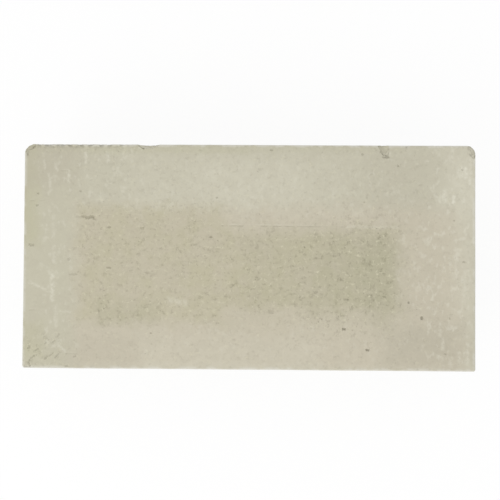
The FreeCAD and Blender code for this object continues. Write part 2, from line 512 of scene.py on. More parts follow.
def halve_edges(bm, wanted):
    """Halves each edge whose two ends are wanted, and the faces between them."""
    chosen = {vert for vert in bm.verts if wanted(vert.co / MM)}
    edges = [edge for edge in bm.edges if edge.verts[0] in chosen and edge.verts[1] in chosen]
    bmesh.ops.subdivide_edges(bm, edges=edges, cuts=1, use_grid_fill=True)


first_margin, second_margin = HOLLOW_MARGINS
halve_edges(bm, lambda spot: in_back_band(spot) or near_hollow(spot, first_margin))
halve_edges(bm, lambda spot: near_hollow(spot, second_margin)
            or any(chip_share(spot, chip) < CHIP_MARGIN for chip in CHIPS.values()))
bmesh.ops.triangulate(bm, faces=[face for face in bm.faces if len(face.verts) > 4])
print(f"grid: {len(bm.faces)} faces after halving")

# %% [markdown]
# ## Relief: hollows and crumbling
#
# Every vertex will move a little, always into the brick, so that the brick stays inside its real size.
# Broad hollows of a tenth of a millimetre take away the computer's flatness, the left end is slightly
# hollow, pores are small troughs, and the back arris crumbles where noise says so. A Displace modifier could
# make one of these at a time. A function of the place adds them all up and knows how dark each is painted,
# partly by dirt and partly by painted shade in the hollow.

# %% Relief: hollows and crumbling
BROAD_SIZE, BROAD_DEPTH = 28.0, 0.09
FINE_SIZE, FINE_DEPTH, FINE_SEED = 3.0, 0.05, 3
CRUMBLE_REACH, CRUMBLE_DEPTH, CRUMBLE_SOIL_AND_SHADE = 2.4, 0.4, 0.55
CRUMBLE_SIZE, CRUMBLE_SEED = 2.0, 5
GRIT_SIZE, GRIT_SHARE, GRIT_SEED = CRUMBLE_SIZE / 3, 0.4, 6
CRUMBLE_LEVELS = (0.58, 0.84)
CRUMBLE_LEAST = 0.12
# Where along X the worst crumbling starts, is full, begins to fade and ends.
WORST_CRUMBLE = (-110, -105, -72, -58)
END_HOLLOW = 0.25
END_DENT_PLACE, END_DENT_HALF, END_DENT_DEPTH, END_DENT_DROP = 28.8, 2.5, 0.3, 14.0
# Noise that makes the rim of each pore ragged.
RIM_SIZE, RIM_LEAST, RIM_RANGE, RIM_SEED = 0.8, 0.4, 1.2, 4
RIM_REACH = 1.5
FULL_SOIL_AND_SHADE_AT = 0.6
# How far a normal leans along X on the left end, and along Z on the upper bed.
LEFT_END_NORMAL, UPPER_BED_NORMAL = -0.9, 0.5


def smooth(value, start, end):
    """0 up to start, 1 from end on, and a smooth rise between them."""
    share = min(1.0, max(0.0, (value - start) / (end - start)))
    return share * share * (3 - 2 * share)


def wave(spot, scale, seed=0):
    """Smooth noise from 0 to 1 with features of about that size. Each seed reads another part of it."""
    return 0.5 + 0.5 * noise.noise(spot / scale + Vector((seed, 2 * seed, 3 * seed)))


def from_edge(spot):
    """How far a place is from the block's nearest edge, where the two nearest faces would meet."""
    faces = (spot.x - LEFT, RIGHT - spot.x, spot.y + BACK, BACK - spot.y, spot.z, TOP - spot.z)
    return sorted(faces)[1]


def crumbling(spot):
    """How far the upper arris has crumbled at a place: most at the back left, a little elsewhere."""
    on_arris = max(0.0, 1 - from_edge(spot) / CRUMBLE_REACH)
    if on_arris == 0 or spot.z < TOP - CRUMBLE_REACH:
        return 0.0
    starts, full, fades, ends = WORST_CRUMBLE
    at_back = BACK - spot.y < CRUMBLE_REACH
    worst = smooth(spot.x, starts, full) * (1 - smooth(spot.x, fades, ends)) if at_back else 0.0
    grit = wave(spot, CRUMBLE_SIZE, CRUMBLE_SEED) + GRIT_SHARE * wave(spot, GRIT_SIZE, GRIT_SEED)
    return on_arris * smooth(grit, *CRUMBLE_LEVELS) * (CRUMBLE_LEAST + (1 - CRUMBLE_LEAST) * worst)


def end_hollow(spot):
    """The left end's slight hollow and the dent at its upper edge."""
    dent = math.exp(-((spot.y - END_DENT_PLACE) / END_DENT_HALF) ** 2)
    dent *= smooth(spot.z, TOP - END_DENT_DROP, TOP)
    return END_HOLLOW * max(0.0, 1 - (spot.y / BACK) ** 2) + END_DENT_DEPTH * dent


def hollow(spot):
    """How deep the pores, gouges and scuffs are at a place on the bed, and how dark they are painted: partly
    dirt, partly painted shade.
    """
    depth, soil = 0.0, 0.0
    for *line, half_width, full_depth, darkness in HOLLOWS:
        across = from_line(spot, *line) / half_width
        if across < RIM_REACH:
            across *= RIM_LEAST + RIM_RANGE * wave(spot, RIM_SIZE, RIM_SEED)
            bowl = max(0.0, 1 - across * across)
            depth += full_depth * bowl
            # The trough's darkening, partly dirt and partly painted shade in the hollow.
            soil = max(soil, darkness * smooth(bowl, 0.0, FULL_SOIL_AND_SHADE_AT))
    return depth, soil


def sink(spot, normal):
    """How deep a place sinks, and how dark it is painted there by dirt and painted shade, before any chip.
    """
    nick = crumbling(spot)
    depth = BROAD_DEPTH * wave(spot, BROAD_SIZE) + FINE_DEPTH * wave(spot, FINE_SIZE, FINE_SEED)
    depth += CRUMBLE_DEPTH * nick
    # The crumbled arris is darkened, partly by dirt and partly by painted shade.
    soil = CRUMBLE_SOIL_AND_SHADE * nick
    if normal.x < LEFT_END_NORMAL:
        depth += end_hollow(spot)
    if normal.z > UPPER_BED_NORMAL:
        trough, darkness = hollow(spot)
        depth += trough
        soil = max(soil, darkness)
    return depth, soil


print(f"hollows: up to {BROAD_DEPTH + FINE_DEPTH:.2f} mm in the skin, {CRUMBLE_DEPTH} mm more at the arris")

# %% [markdown]
# ## Relief: chips
#
# A chip pushes the vertices inside its ellipsoid out to its surface, away from its middle. Noise makes the
# rim ragged and the face rough, because fired clay breaks round its grains. A Boolean cut would give a clean
# hollow with long thin faces, and those have no vertices to roughen.

# %% Relief: chips
CHIP_RAGGED, CHIP_RAGGED_SIZE, RAGGED_SEED = 0.65, 1.6, 7
CHIP_ROUGH, CHIP_ROUGH_SIZE, ROUGH_SEED = 0.25, 1.0, 8
# How far in from the rim the skin ends and the painted shade ends, as shares of the ellipsoid.
CHIP_EDGE, CHIP_RIM_SHADE = 0.03, 0.11
# The way in plan, away from the lamp, that a chip's face turns where painted shade goes under its rim.
AWAY_FROM_LAMP = Vector((0.64, 0.77))
SHADE_LEVELS = (-0.3, 0.5)


def turned_from_lamp(spot, chip):
    """1 where a chip's face turns away from the lamp, where its painted shade goes, and 0 where it turns
    towards it.
    """
    inward = chip.turn @ (chip.middle - spot)
    facing = Vector([part / half ** 2 for part, half in zip(inward, chip.half)]).xy
    return smooth(facing.normalized().dot(AWAY_FROM_LAMP), *SHADE_LEVELS)


def chipped(spot, target, soil):
    """Where a place goes if it lies in a chip, its darkening from dirt and painted shade, how much skin is
    gone, and how fresh that is.
    """
    gone, fresh = 0.0, 0.0
    for chip in CHIPS.values():
        share = chip_share(spot, chip)
        unit = 1 / min(chip.half)
        limit = 1 + CHIP_RAGGED * unit * (wave(spot, CHIP_RAGGED_SIZE, RAGGED_SEED) - 0.5)
        if share < limit:
            inside = smooth(limit - share, 0.0, CHIP_EDGE)
            rough = CHIP_ROUGH * unit * (wave(spot, CHIP_ROUGH_SIZE, ROUGH_SEED) - 0.5) * inside
            target = chip.middle + (spot - chip.middle) * ((limit + rough) / share)
            gone = max(gone, inside)
            fresh = max(fresh, inside * chip.fresh)
            # Painted shade under the rim, where the chip's face turns away from the lamp.
            under_rim = inside * (1 - smooth(limit - share, 0.0, CHIP_RIM_SHADE))
            soil = max(soil, chip.rim_soil * turned_from_lamp(spot, chip) * under_rim)
    return target, soil, gone, fresh


print(f"chips: rims ragged by up to {CHIP_RAGGED / 2:.2f} mm, faces rough by up to {CHIP_ROUGH / 2:.2f} mm")

# %% [markdown]
# ## Edges rubbed pale, with a painted highlight
#
# Where an edge hasn't chipped, other bricks have rubbed it pale, and the same paleness is also a painted
# highlight along the rounded arrises. A bevel of another colour would be a ribbon of one width. Here the
# paleness is read from the distance to the edge, and noise widens it in patches. It is weaker on the upright
# edges, which rub less, and at the right end, which faces away from the lamp and gets less painted
# highlight.

# %% Edges rubbed pale, with a painted highlight
PALE_EDGE_REACH = (0.7, 2.0)
PALE_EDGE_SIZE, PALE_EDGE_SEED = 6.0, 9
SPECK_SIZE, SPECK_SHARE, SPECK_SEED = 1.5, 0.5, 10
PALE_EDGE_LEVELS = (0.5, 0.95)
RIGHT_END_PALE = 0.6
UPRIGHT_PALE = 0.4
# How far a normal leans along an axis where a place counts as turned that way.
TURNED = 0.3


def rubbed_and_highlit(spot, normal):
    """How pale an edge is, by rubbing and by a painted highlight: most on the edge itself, further from it
    in patches.
    """
    narrow, wide = PALE_EDGE_REACH
    patches = wave(spot, PALE_EDGE_SIZE, PALE_EDGE_SEED) + SPECK_SHARE * wave(spot, SPECK_SIZE, SPECK_SEED)
    reach = narrow + (wide - narrow) * smooth(patches, *PALE_EDGE_LEVELS)
    wear_and_highlight = smooth(reach - from_edge(spot), 0.0, reach)
    wear_and_highlight *= UPRIGHT_PALE + (1 - UPRIGHT_PALE) * smooth(abs(normal.z), 0.0, TURNED)
    # Less of the painted highlight on the right end, which faces away from the lamp.
    return wear_and_highlight * (RIGHT_END_PALE if normal.x > TURNED else 1.0)


print(f"wear: {PALE_EDGE_REACH[0]} to {PALE_EDGE_REACH[1]} mm wide along the edges")

# %% [markdown]
# ## Moving the vertices
#
# Each vertex now goes to its place, and three numbers are stored on it for the material to read: how dark a
# hollow is painted, partly by dirt and partly by painted shade, `fracture`, where a fresh break shows pale
# clay, and how pale an edge is painted, partly by rubbing and partly as a painted highlight. A material can
# look for hollows and edges by itself, but the relief already knows
# them exactly, and reading a stored number costs no time in the render.

# %% Moving the vertices
soil_and_shade_layer = bm.verts.layers.float.new("soil")
fracture_layer = bm.verts.layers.float.new("fracture")
wear_and_highlight_layer = bm.verts.layers.float.new("wear_and_highlight")
bm.normal_update()
for vert in bm.verts:
    spot = vert.co / MM
    depth, soil = sink(spot, vert.normal)
    target, soil, gone, fresh = chipped(spot, spot - vert.normal * depth, soil)
    # Darkening in hollows and under chip rims: partly dirt, partly painted shade.
    vert[soil_and_shade_layer] = soil
    vert[fracture_layer] = fresh
    # Pale edges: partly rubbed wear, partly a painted highlight.
    vert[wear_and_highlight_layer] = rubbed_and_highlit(spot, vert.normal) * (1 - gone)
    vert.co = target * MM

bmesh.ops.recalc_face_normals(bm, faces=bm.faces)
brick_mesh = bpy.data.meshes.new("firebrick_body")
bm.to_mesh(brick_mesh)
bm.free()
brick_mesh.shade_smooth()
triangles = sum(len(face.vertices) - 2 for face in brick_mesh.polygons)
print(f"relief: {len(brick_mesh.vertices)} vertices moved, {triangles} triangles")

# %% [markdown]
# ## Steps that the effects share
#
# Stains, grains and scratches look different, but they are made of the same few steps: arithmetic on
# vectors, a smooth ramp between two values, a noise with features of a given size, and a place that noise
# has moved about. Drawing a plain shape at such a place tears its edge, as a stain's edge is torn.

# %% Steps that the effects share
NOISE_MIDDLE = (0.5, 0.5, 0.5)
TEAR_GAIN = 5.0


def vector(tree, operation, *values):
    """One step of arithmetic on vectors. A second single value scales the first."""
    names = {0: 0, 1: "Scale" if operation == "SCALE" else 1}
    inputs = {names[number]: value for number, value in enumerate(values)}
    made = put(tree, "ShaderNodeVectorMath", inputs, operation=operation)
    return made.outputs["Value" if operation in ("LENGTH", "DOT_PRODUCT") else "Vector"]


def ramp(tree, value, start, end):
    """0 at start, 1 at end, smooth between them and level beyond."""
    inputs = {"Value": value, "From Min": start, "From Max": end}
    return put(tree, "ShaderNodeMapRange", inputs, interpolation_type="SMOOTHSTEP").outputs["Result"]


def cloud(tree, place, feature, detail=3.0, roughness=0.6):
    """A noise texture with features of about that size."""
    frequency = calc(tree, "DIVIDE", 1.0, feature)
    inputs = {"Vector": place, "Scale": frequency, "Detail": detail, "Roughness": roughness}
    return put(tree, "ShaderNodeTexNoise", inputs)


def torn(tree, place, feature, reach):
    """A place moved about by noise, which tears the edge of whatever is drawn there."""
    centred = vector(tree, "SUBTRACT", cloud(tree, place, feature).outputs["Color"], NOISE_MIDDLE)
    gain = calc(tree, "MULTIPLY", reach, TEAR_GAIN)
    return vector(tree, "ADD", place, vector(tree, "SCALE", centred, gain))


print("steps: vector, ramp, cloud and torn")

# %% [markdown]
# ## Shared effects for the fired clay
#
# The finish is built from three effects that are each used several times, so each is a node group with its
# own inputs. `ragged_patch` is a soft rectangle with a torn edge, for stains and pale areas. `sandy_grain`
# picks out the high or low spots of a fine noise, for grains and pores. `rubbed_line` is a soft stroke
# between two points, for scratches and chalky marks.

# %% Shared effects for the fired clay
PATCH_TEAR_FEATURE = 7.0 * MM
LINE_TEAR_FEATURE = 2.5 * MM


def new_group(name, inputs):
    """A shader node group with the given inputs and one output, a mask. Returns it with both ends."""
    tree = bpy.data.node_groups.new(name, "ShaderNodeTree")
    for title, kind in inputs:
        tree.interface.new_socket(name=title, in_out="INPUT", socket_type=f"NodeSocket{kind}")
    tree.interface.new_socket(name="Mask", in_out="OUTPUT", socket_type="NodeSocketFloat")
    start = put(tree, "NodeGroupInput").outputs
    end = put(tree, "NodeGroupOutput").inputs["Mask"]
    return tree, start, end


def make_ragged_patch():
    """A rectangle on the bed: 1 inside, 0 outside, with a soft, torn edge."""
    tree, start, end = new_group("ragged_patch", (
        ("Place", "Vector"), ("Middle", "Vector"), ("Half Size", "Vector"), ("Softness", "Float"),
        ("Tear", "Float")))
    place = torn(tree, start["Place"], PATCH_TEAR_FEATURE, start["Tear"])
    away = vector(tree, "ABSOLUTE", vector(tree, "SUBTRACT", place, start["Middle"]))
    outside = put(tree, "ShaderNodeSeparateXYZ", {0: vector(tree, "SUBTRACT", away, start["Half Size"])})
    furthest = calc(tree, "MAXIMUM", outside.outputs["X"], outside.outputs["Y"])
    inner = calc(tree, "MULTIPLY", start["Softness"], -1.0)
    tree.links.new(ramp(tree, furthest, start["Softness"], inner), end)
    return tree


def make_sandy_grain():
    """The spots of a fine noise between two of its levels, which may rise or fall."""
    tree, start, end = new_group("sandy_grain", (
        ("Place", "Vector"), ("Feature", "Float"), ("None At", "Float"), ("Full At", "Float"),
        ("Fineness", "Float")))
    spots = cloud(tree, start["Place"], start["Feature"], roughness=start["Fineness"]).outputs["Fac"]
    tree.links.new(ramp(tree, spots, start["None At"], start["Full At"]), end)
    return tree


def make_rubbed_line():
    """A soft stroke from one point to another."""
    tree, start, end = new_group("rubbed_line", (
        ("Place", "Vector"), ("Begin", "Vector"), ("Finish", "Vector"), ("Width", "Float"),
        ("Tear", "Float")))
    place = torn(tree, start["Place"], LINE_TEAR_FEATURE, start["Tear"])
    reach = vector(tree, "SUBTRACT", place, start["Begin"])
    line = vector(tree, "SUBTRACT", start["Finish"], start["Begin"])
    length = vector(tree, "DOT_PRODUCT", line, line)
    along = calc(tree, "DIVIDE", vector(tree, "DOT_PRODUCT", reach, line), length)
    along = calc(tree, "MINIMUM", calc(tree, "MAXIMUM", along, 0.0), 1.0)
    away = vector(tree, "SUBTRACT", reach, vector(tree, "SCALE", line, along))
    tree.links.new(ramp(tree, vector(tree, "LENGTH", away), start["Width"], 0.0), end)
    return tree


GROUPS = {
    "ragged_patch": make_ragged_patch(),
    "sandy_grain": make_sandy_grain(),
    "rubbed_line": make_rubbed_line(),
}


def effect(tree, name, **inputs):
    """Places one of the shared effects in a material and returns its mask."""
    titles = {title.replace("_", " ").title(): value for title, value in inputs.items()}
    return put(tree, "ShaderNodeGroup", titles, node_tree=GROUPS[name]).outputs["Mask"]


def grain(tree, place, feature, none_at, full_at, fineness=0.7):
    """The shared sandy grain, with its feature in millimetres."""
    return effect(tree, "sandy_grain", place=place, feature=feature * MM, none_at=none_at, full_at=full_at,
                  fineness=fineness)


print("effects:", ", ".join(GROUPS))

# %% [markdown]
# ## The pressed skin
#
# The bed isn't one colour. A pale skin from the press covers it, cooler at the back and warmer at the front,
# paler and duller in places, and olive along the left end. Each patch is a rectangle in millimetres from the
# bed's middle, and patches of one kind add up. A picture could be painted instead, but a few soft patches
# look right from any distance and are easy to change.

# %% The pressed skin
SKIN = colour(195, 191, 172)
WARM_SKIN = colour(199, 191, 172)
PALE_SKIN = colour(207, 203, 185)
OLIVE_SKIN = colour(188, 185, 157)
DULL_SKIN = colour(184, 178, 160)

SOFT_LEVELS = (0.35, 0.65)
MOTTLE_FEATURE = 6.0
MOTTLE_AMOUNT = 0.22

# Each patch: its left, right, front and back, its softness and tear, and its amount.
WARM_PATCHES = (
    (-88, 110, -60, 26, 6.0, 2.0, 0.8),
)
PALE_PATCHES = (
    (-60, 50, 25, 50, 8.0, 3.0, 0.30),
    (-26, 26, 26, 50, 8.0, 3.0, 0.36),
    (94, 124, 22, 66, 9.0, 3.0, 0.46),
    (102, 124, 36, 52, 5.0, 2.0, 0.40),
    (104, 124, -40, 40, 5.0, 2.0, 0.36),
    (98, 120, -22, 32, 5.0, 3.0, 0.14),
    (-80, -22, 24, 36, 6.0, 3.0, 0.14),
    (-56, 36, -60, -40, 6.0, 2.0, 0.26),
    (-112, 120, -60, -54, 2.0, 1.0, 0.25),
)
OLIVE_PATCHES = (
    (-112, 0, 52.5, 60, 1.5, 0.8, 0.32),
    (0, 78, 53.5, 60, 1.5, 0.8, 0.15),
    (-120, -107, 6, 60, 4.0, 1.5, 0.55),
    (-120, -104, -50, -34, 4.0, 2.0, 0.50),
    (-120, -92, -60, -46, 4.0, 2.0, 0.25),
    (-120, -88, -46, 50, 6.0, 3.0, 0.10),
)
DULL_PATCHES = (
    (62, 95, 20, 54, 8.0, 3.0, 0.20),
    (69, 107, -54, -36, 8.0, 3.0, 0.64),
    (80, 104, -42, -20, 6.0, 3.0, 0.20),
    (84, 98, -20, 12, 5.0, 3.0, 0.13),
    (-114, -86, -58, -20, 6.0, 3.0, 0.12),
    (-82, 20, -44, -31, 5.0, 3.0, 0.08),
    (-92, -58, -58, -42, 6.0, 3.0, 0.32),
    (-120, -88, 34, 60, 8.0, 3.0, 0.50),
)
SKIN_TINTS = (
    (WARM_PATCHES, WARM_SKIN),
    (PALE_PATCHES, PALE_SKIN),
    (OLIVE_PATCHES, OLIVE_SKIN),
    (DULL_PATCHES, DULL_SKIN),
)


def patch_sum(tree, place, patches):
    """The patches of one kind added up, at most 1."""
    total = 0.0
    for left, right, front, back, softness, tear, amount in patches:
        middle = ((left + right) / 2 * MM, (front + back) / 2 * MM, 0.0)
        half_size = ((right - left) / 2 * MM, (back - front) / 2 * MM, 0.0)
        mask = effect(tree, "ragged_patch", place=place, middle=middle, half_size=half_size,
                      softness=softness * MM, tear=tear * MM)
        total = calc(tree, "MULTIPLY_ADD", mask, amount, total)
    return calc(tree, "MINIMUM", total, 1.0)


def tinted(tree, base, tint, *masks):
    """A colour with a tint over it, by the product of some masks and amounts."""
    share, *others = masks
    for other in others:
        share = calc(tree, "MULTIPLY", share, other)
    return mix(tree, share, base, tint)


def pressed_skin(tree, place, on_bed):
    """The skin's colour before any stain."""
    base = SKIN
    for patches, tint in SKIN_TINTS:
        base = tinted(tree, base, tint, patch_sum(tree, place, patches), on_bed)
    mottle = grain(tree, place, MOTTLE_FEATURE, *SOFT_LEVELS)
    return tinted(tree, base, DULL_SKIN, mottle, MOTTLE_AMOUNT)


print("skin:", sum(len(patches) for patches, tint in SKIN_TINTS), "patches of", len(SKIN_TINTS), "kinds")

# %% [markdown]
# ## The stain and the smoke
#
# In the middle of the bed the skin is stained a yellow grey, and towards the right smoke has darkened the
# stain. Both are patches again, made uneven by a noise. How much of each there is also says how open the
# skin is, and so how strongly the grains will show there.

# %% The stain and the smoke
STAIN = colour(178, 172, 147)
YELLOW_STAIN = colour(178, 174, 140)
SMOKE = colour(170, 167, 143)

WIDE_LEVELS = (0.3, 0.7)
UNEVEN_FEATURE = 7.0
UNEVEN_AMOUNT = 0.36
UNEVEN_LEAST = 0.82
YELLOW_FEATURE = 12.0
SMOKE_OPENNESS = 0.75

# The first two stains meet without a seam, because both fade across the same line in the same way.
STAIN_PATCHES = (
    (-86, -14, -33, 25.5, 5.0, 2.4, 0.35),
    (-14, 74, -26, 13.5, 5.0, 2.4, 0.40),
    (-16, 72, -37, -26, 5.0, 2.4, 0.09),
    (-9, 5, -25, -14, 5.0, 2.5, 0.12),
    (-33, -17, -18, -7, 5.0, 2.5, 0.10),
)
SMOKE_PATCHES = (
    (-2, 78, -27, 14, 9.0, 3.0, 0.17),
    (34, 78, -27, 12, 9.0, 3.0, 0.17),
    (57, 75, -36, 10, 5.5, 3.5, 0.165),
    (-76, -46, -34, -23, 5.5, 2.4, 0.28),
)


def stained(tree, place, on_bed, base):
    """The colour with its stain and smoke, and how open they have left the skin."""
    uneven = grain(tree, place, UNEVEN_FEATURE, *WIDE_LEVELS)
    uneven = calc(tree, "MULTIPLY_ADD", uneven, UNEVEN_AMOUNT, UNEVEN_LEAST)
    uneven = calc(tree, "MULTIPLY", uneven, on_bed)
    stain = calc(tree, "MULTIPLY", patch_sum(tree, place, STAIN_PATCHES), uneven)
    smoke = calc(tree, "MULTIPLY", patch_sum(tree, place, SMOKE_PATCHES), uneven)
    yellow = grain(tree, place, YELLOW_FEATURE, *SOFT_LEVELS)
    base = mix(tree, stain, base, mix(tree, yellow, STAIN, YELLOW_STAIN))
    base = mix(tree, smoke, base, SMOKE)
    return base, calc(tree, "MULTIPLY_ADD", smoke, SMOKE_OPENNESS, stain)


print(f"stain: {len(STAIN_PATCHES)} patches, and {len(SMOKE_PATCHES)} of smoke")

# %% [markdown]
# ## Drag marks on the sides
#
# A pressed brick is pushed up out of its mould, and the mould's walls draw faint upright lines on its four
# sides. Noise that is stretched along the height gives such lines without a list of strokes. They fade out
# at the two beds, which the plungers press and nothing rubs along.

# %% Drag marks on the sides
DRAG_STRETCH = (1.0, 1.0, 0.05)
DRAG_FEATURE = 2.6
DRAG_AMOUNT = 0.22
DRAG_FINENESS = 0.5
DRAG_TINTS = (((0.5, 0.75), PALE_SKIN), ((0.5, 0.25), DULL_SKIN))
BED_FADE = (1.0 * MM, 3.0 * MM)


def drag_marks(tree, place, on_bed, base):
    """The colour with pale and dull upright lines on the sides."""
    height = put(tree, "ShaderNodeSeparateXYZ", {0: place}).outputs["Z"]
    above_bed = ramp(tree, height, low.z + BED_FADE[0], low.z + BED_FADE[1])
    on_side = calc(tree, "MULTIPLY", above_bed, calc(tree, "SUBTRACT", 1.0, on_bed))
    stretched = vector(tree, "MULTIPLY", place, DRAG_STRETCH)
    for levels, tint in DRAG_TINTS:
        lines = grain(tree, stretched, DRAG_FEATURE, *levels, fineness=DRAG_FINENESS)
        base = tinted(tree, base, tint, lines, on_side, DRAG_AMOUNT)
    return base


print(f"drag marks: about {DRAG_FEATURE} mm apart")

# %% [markdown]
# ## Chalky streaks
#
# Other bricks have rubbed chalky streaks into both ends of the bed. Strokes between two points are enough
# for them, and noise wipes parts of the strokes away, as rubbing does. Round the streaks lie smaller flecks,
# too many to place: they are the high spots of a noise that is stretched along the strokes. Two strokes,
# beside the crack at the spall and at the flake's right side, are painted highlights and not chalk.

# %% Chalky streaks
# Chalk for the streaks, also used as painted highlight for two strokes and beside the scratches.
CHALK_AND_HIGHLIGHT = colour(222, 219, 203)
CHALK_TEAR = 0.5
CHALK_WIPE = {"feature": 2.0, "none_at": 0.3, "full_at": 0.62}
FLECKS = {"feature": 2.4, "none_at": 0.53, "full_at": 0.7, "fineness": 0.5}
FLECK_STRETCH = (1.0, 0.7, 1.0)
FLECK_PATCHES = (
    (88, 113, -56, 52, 6.0, 3.0, 0.34),
    (-106, -60, 26, 53, 6.0, 3.0, 0.25),
    (-106, -88, -50, 26, 5.0, 3.0, 0.25),
    (-60, 90, 18, 53, 8.0, 3.0, 0.19),
    (74, 88, -45, 18, 5.0, 3.0, 0.22),
    (-60, 70, -54, -30, 8.0, 3.0, 0.14),
)

# Each streak: its two ends along X and Y, its width to either side, and its amount.
CHALK_STREAKS_AND_HIGHLIGHT = (
    (-104.1, 48.2, -104.0, 44.6, 1.2, 0.35),
    (-98.2, 47.2, -97.7, 43.1, 1.2, 0.40),
    (-83.1, 52.4, -83.1, 47.8, 1.3, 0.50),
    (-72.2, 52.9, -71.6, 48.3, 1.4, 0.50),
    (-91.7, 43.1, -91.6, 37.5, 1.2, 0.50),
    (-101.7, 41.6, -101.0, 34.4, 1.2, 0.35),
    (-99.1, 20.2, -99.0, 10.0, 1.8, 0.30),
    (-98.9, 4.9, -98.8, -3.2, 1.8, 0.32),
    (-99.5, -9.8, -99.4, -22.5, 2.0, 0.60),
    (-97.5, -25.5, -97.4, -35.2, 1.8, 0.32),
    (-110.9, -13.5, -100.7, -18.0, 1.4, 0.45),
    (-95.8, -45.7, -92.8, -48.0, 1.4, 0.45),
    (-96.0, -28.2, -90.4, -28.5, 1.0, 0.30),
    (107.8, 45.9, 107.7, 41.8, 1.4, 0.75),
    (109.5, 45.3, 109.5, 40.8, 1.4, 0.85),
    (111.6, 41.2, 111.6, 37.4, 1.3, 0.60),
    (102.7, 55.2, 102.7, 49.4, 1.6, 0.35),
    (98.4, 33.5, 98.7, 29.1, 2.2, 0.64),
    (103.4, 31.6, 103.4, 27.9, 1.6, 0.80),
    (92.0, 35.4, 96.5, 28.4, 1.3, 0.45),
    (109.1, -6.9, 109.1, -16.0, 1.8, 0.30),
    (96.6, -33.1, 96.6, -38.7, 1.6, 0.35),
    (97.8, -40.6, 98.0, -45.6, 1.6, 0.40),
    (101.6, -50.6, 101.8, -54.2, 1.6, 0.35),
    (106.0, -47.4, 105.9, -53.1, 1.6, 0.35),
    (110.3, -46.1, 110.4, -53.1, 1.6, 0.40),
    # This stroke below the crack at the spall is a painted highlight, not chalk.
    (-56.0, 55.0, -54.4, 53.6, 0.9, 0.50),
    (111.8, 50.6, 111.9, 43.0, 1.5, 0.40),
    # This stroke at the flake's right side is a painted highlight, not chalk.
    (71.5, 52.9, 71.5, 52.2, 1.0, 0.45),
    (69.9, 49.8, 70.5, 49.6, 0.7, 0.40),
    (-40.5, -22.0, -31.5, -23.5, 2.8, 0.35),
    (50.0, 15.6, 75.0, 15.5, 1.2, 0.30),
)


def stroke(tree, place, begin, finish, width, tear):
    """A stroke on the upper bed, between two points in millimetres."""
    return effect(tree, "rubbed_line", place=place, width=width * MM, tear=tear * MM,
                  begin=(begin[0] * MM, begin[1] * MM, high.z),
                  finish=(finish[0] * MM, finish[1] * MM, high.z))


def chalky_streaks_and_highlight(tree, place, on_bed, base):
    """The colour with its chalky streaks and flecks, and two strokes of painted highlight."""
    chalk = 0.0
    for from_x, from_y, to_x, to_y, width, amount in CHALK_STREAKS_AND_HIGHLIGHT:
        mask = stroke(tree, place, (from_x, from_y), (to_x, to_y), width, CHALK_TEAR)
        chalk = calc(tree, "MAXIMUM", chalk, calc(tree, "MULTIPLY", mask, amount))
    chalk = calc(tree, "MULTIPLY", chalk, grain(tree, place, **CHALK_WIPE))
    flecks = grain(tree, vector(tree, "MULTIPLY", place, FLECK_STRETCH), **FLECKS)
    flecks = calc(tree, "MULTIPLY", flecks, patch_sum(tree, place, FLECK_PATCHES))
    return tinted(tree, base, CHALK_AND_HIGHLIGHT, calc(tree, "MAXIMUM", chalk, flecks), on_bed)


print(f"chalk: {len(CHALK_STREAKS_AND_HIGHLIGHT)} streaks, and flecks in {len(FLECK_PATCHES)} areas")

# %% [markdown]
# ## Scratches
#
# Something sharp has drawn one long straight scratch across the middle of the bed, and there are a few
# hairlines near its left end. They are too fine for the grid, so they are drawn and not cut: a dark stroke
# of painted shade for the groove's shaded side, and a pale stroke of painted highlight beside it for the
# side that catches the light. Noise breaks both where the point skipped.

# %% Scratches
# Dark clay for the dark grains and pores, and painted shade for the scratches.
DARK_CLAY_AND_SHADE = colour(118, 111, 90)
SCRATCH_WIPE = {"feature": 3.5, "none_at": 0.42, "full_at": 0.56}
# Each scratch: its two ends, and its amount. The first two are one long scratch, fainter to the right.
SCRATCHES = (
    (-13.6, 15.7, 32.5, 15.5, 0.24),
    (32.5, 15.5, 48.7, 15.4, 0.09),
    (-108.1, 42.6, -104.5, 42.5, 0.14),
    (-95.8, 43.2, -92.0, 43.2, 0.16),
    (-112.2, 27.9, -103.8, 28.1, 0.14),
    (-92.2, -49.4, -81.5, -49.7, 0.12),
    (-110.8, -27.7, -106.9, -27.4, 0.14),
)
SCRATCH_WIDTH = 0.5
# How far beside each dark stroke its pale stroke of painted highlight lies, in millimetres.
SCRATCH_HIGHLIGHT_ASIDE = 0.7
SCRATCH_TEAR = 0.1


def scratches_shade_and_highlight(tree, place, base):
    """The colour with its scratches, each a dark stroke of painted shade with a pale stroke of painted
    highlight beside it.
    """
    unbroken = grain(tree, place, **SCRATCH_WIPE)
    for from_x, from_y, to_x, to_y, amount in SCRATCHES:
        # A dark stroke of painted shade, then a pale stroke of painted highlight beside it.
        for aside, tint in ((0.0, DARK_CLAY_AND_SHADE), (SCRATCH_HIGHLIGHT_ASIDE, CHALK_AND_HIGHLIGHT)):
            begin, finish = (from_x, from_y + aside), (to_x, to_y + aside)
            line = stroke(tree, place, begin, finish, SCRATCH_WIDTH, SCRATCH_TEAR)
            base = tinted(tree, base, tint, line, unbroken, amount)
    return base


print(f"scratches: {len(SCRATCHES)}, {SCRATCH_WIDTH} mm to either side")

# %% [markdown]
# ## Grains and pores
#
# Fireclay is ground clay with coarse burnt grains in it. In the smooth skin they hardly show, and where the
# skin is stained it is open and rough. Dark and pale spots are picked from noise of different sizes, and one
# amount, `rough`, makes them stronger in the stain, in fresh breaks and in a few worn areas, and gathers
# them in clusters. The same spots feed a bump, so that raking light finds them too.

# %% Grains and pores
SMOOTH_ROUGHNESS = 0.60
STAIN_ROUGHNESS = 1.15
BROKEN_ROUGHNESS = 1.2
CLUSTER_FEATURE = 9.0
CLUSTER_AMOUNT = 0.7
CLUSTER_LEAST = 0.65
PALE_GRAIN = colour(215, 210, 184)

